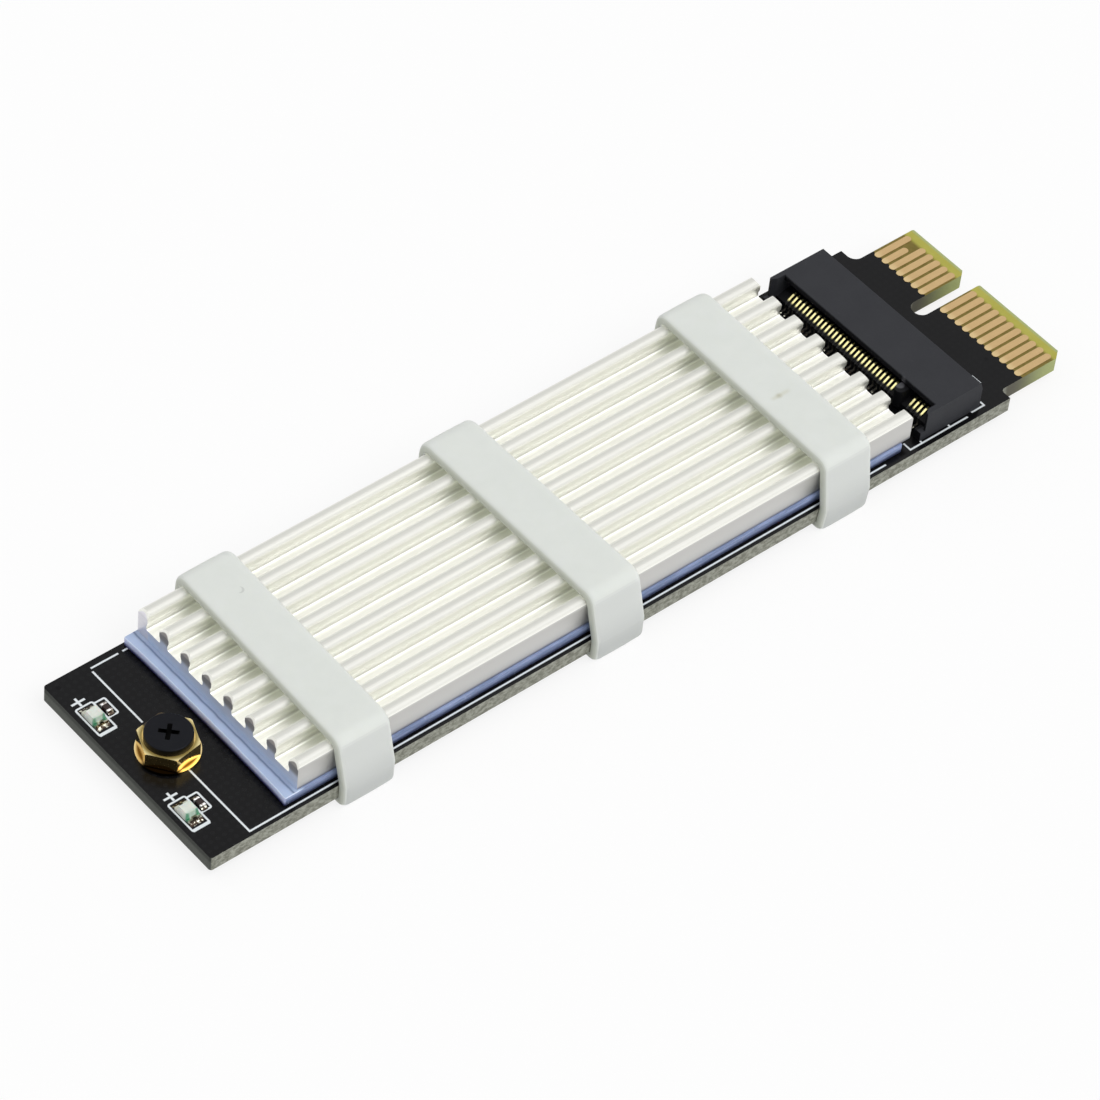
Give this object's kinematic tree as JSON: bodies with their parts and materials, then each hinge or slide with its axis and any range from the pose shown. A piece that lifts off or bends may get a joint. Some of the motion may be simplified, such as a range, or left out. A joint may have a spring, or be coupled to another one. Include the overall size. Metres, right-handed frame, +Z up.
{
  "type": "nvme adapter card",
  "caption": "Long narrow adapter card with a slotted edge connector, a flat module socket, a finned heatsink on a soft pad, elastic bands, lamps and a standoff with its screw.",
  "frame": {"origin": "centre of the bounding box, level with the flat undersides of the bands", "axes": "+X from the lamp end to the edge connector, +Y from the near long edge to the far one, +Z up out of the component side"},
  "size_m": [0.0996, 0.0252, 0.0075],
  "materials": {
    "board_black": "satin solder mask over glass laminate",
    "contact_gold": "thin gold plating",
    "bare_aluminium": "clear satin",
    "pad_blue": "matt silicone pad",
    "band_white": "smooth silicone",
    "standoff_brass": "gold plated",
    "screw_black": "black oxide",
    "lamp_carrier": "green carrier",
    "tinned_metal": "tinned",
    "lamp_resin": "clear to milky resin",
    "resistor_ceramic": "dark overglaze",
    "solder": "bright solder",
    "socket_plastic": "fine matt moulding"
  },
  "bodies": {
    "root": {"circuit_board": "board_black", "edge_contacts_top": "contact_gold", "edge_contacts_bottom": "contact_gold", "heatsink": "bare_aluminium", "thermal_pad": "pad_blue", "band_left": "band_white", "band_middle": "band_white", "band_right": "band_white", "standoff": "standoff_brass", "standoff_screw": "screw_black", "lamp_far_body": "lamp_carrier", "lamp_near_body": "lamp_carrier", "lamp_far_terminals": "tinned_metal", "lamp_near_terminals": "tinned_metal", "lamp_far_lens": "lamp_resin", "lamp_near_lens": "lamp_resin", "resistor_far_body": "resistor_ceramic", "resistor_near_body": "resistor_ceramic", "resistor_far_caps": "tinned_metal", "resistor_near_caps": "tinned_metal", "lamp_solder": "solder", "resistor_solder": "solder", "socket_housing": "socket_plastic", "socket_lower_contacts": "contact_gold", "socket_upper_contacts": "contact_gold"}
  },
  "joints": []
}
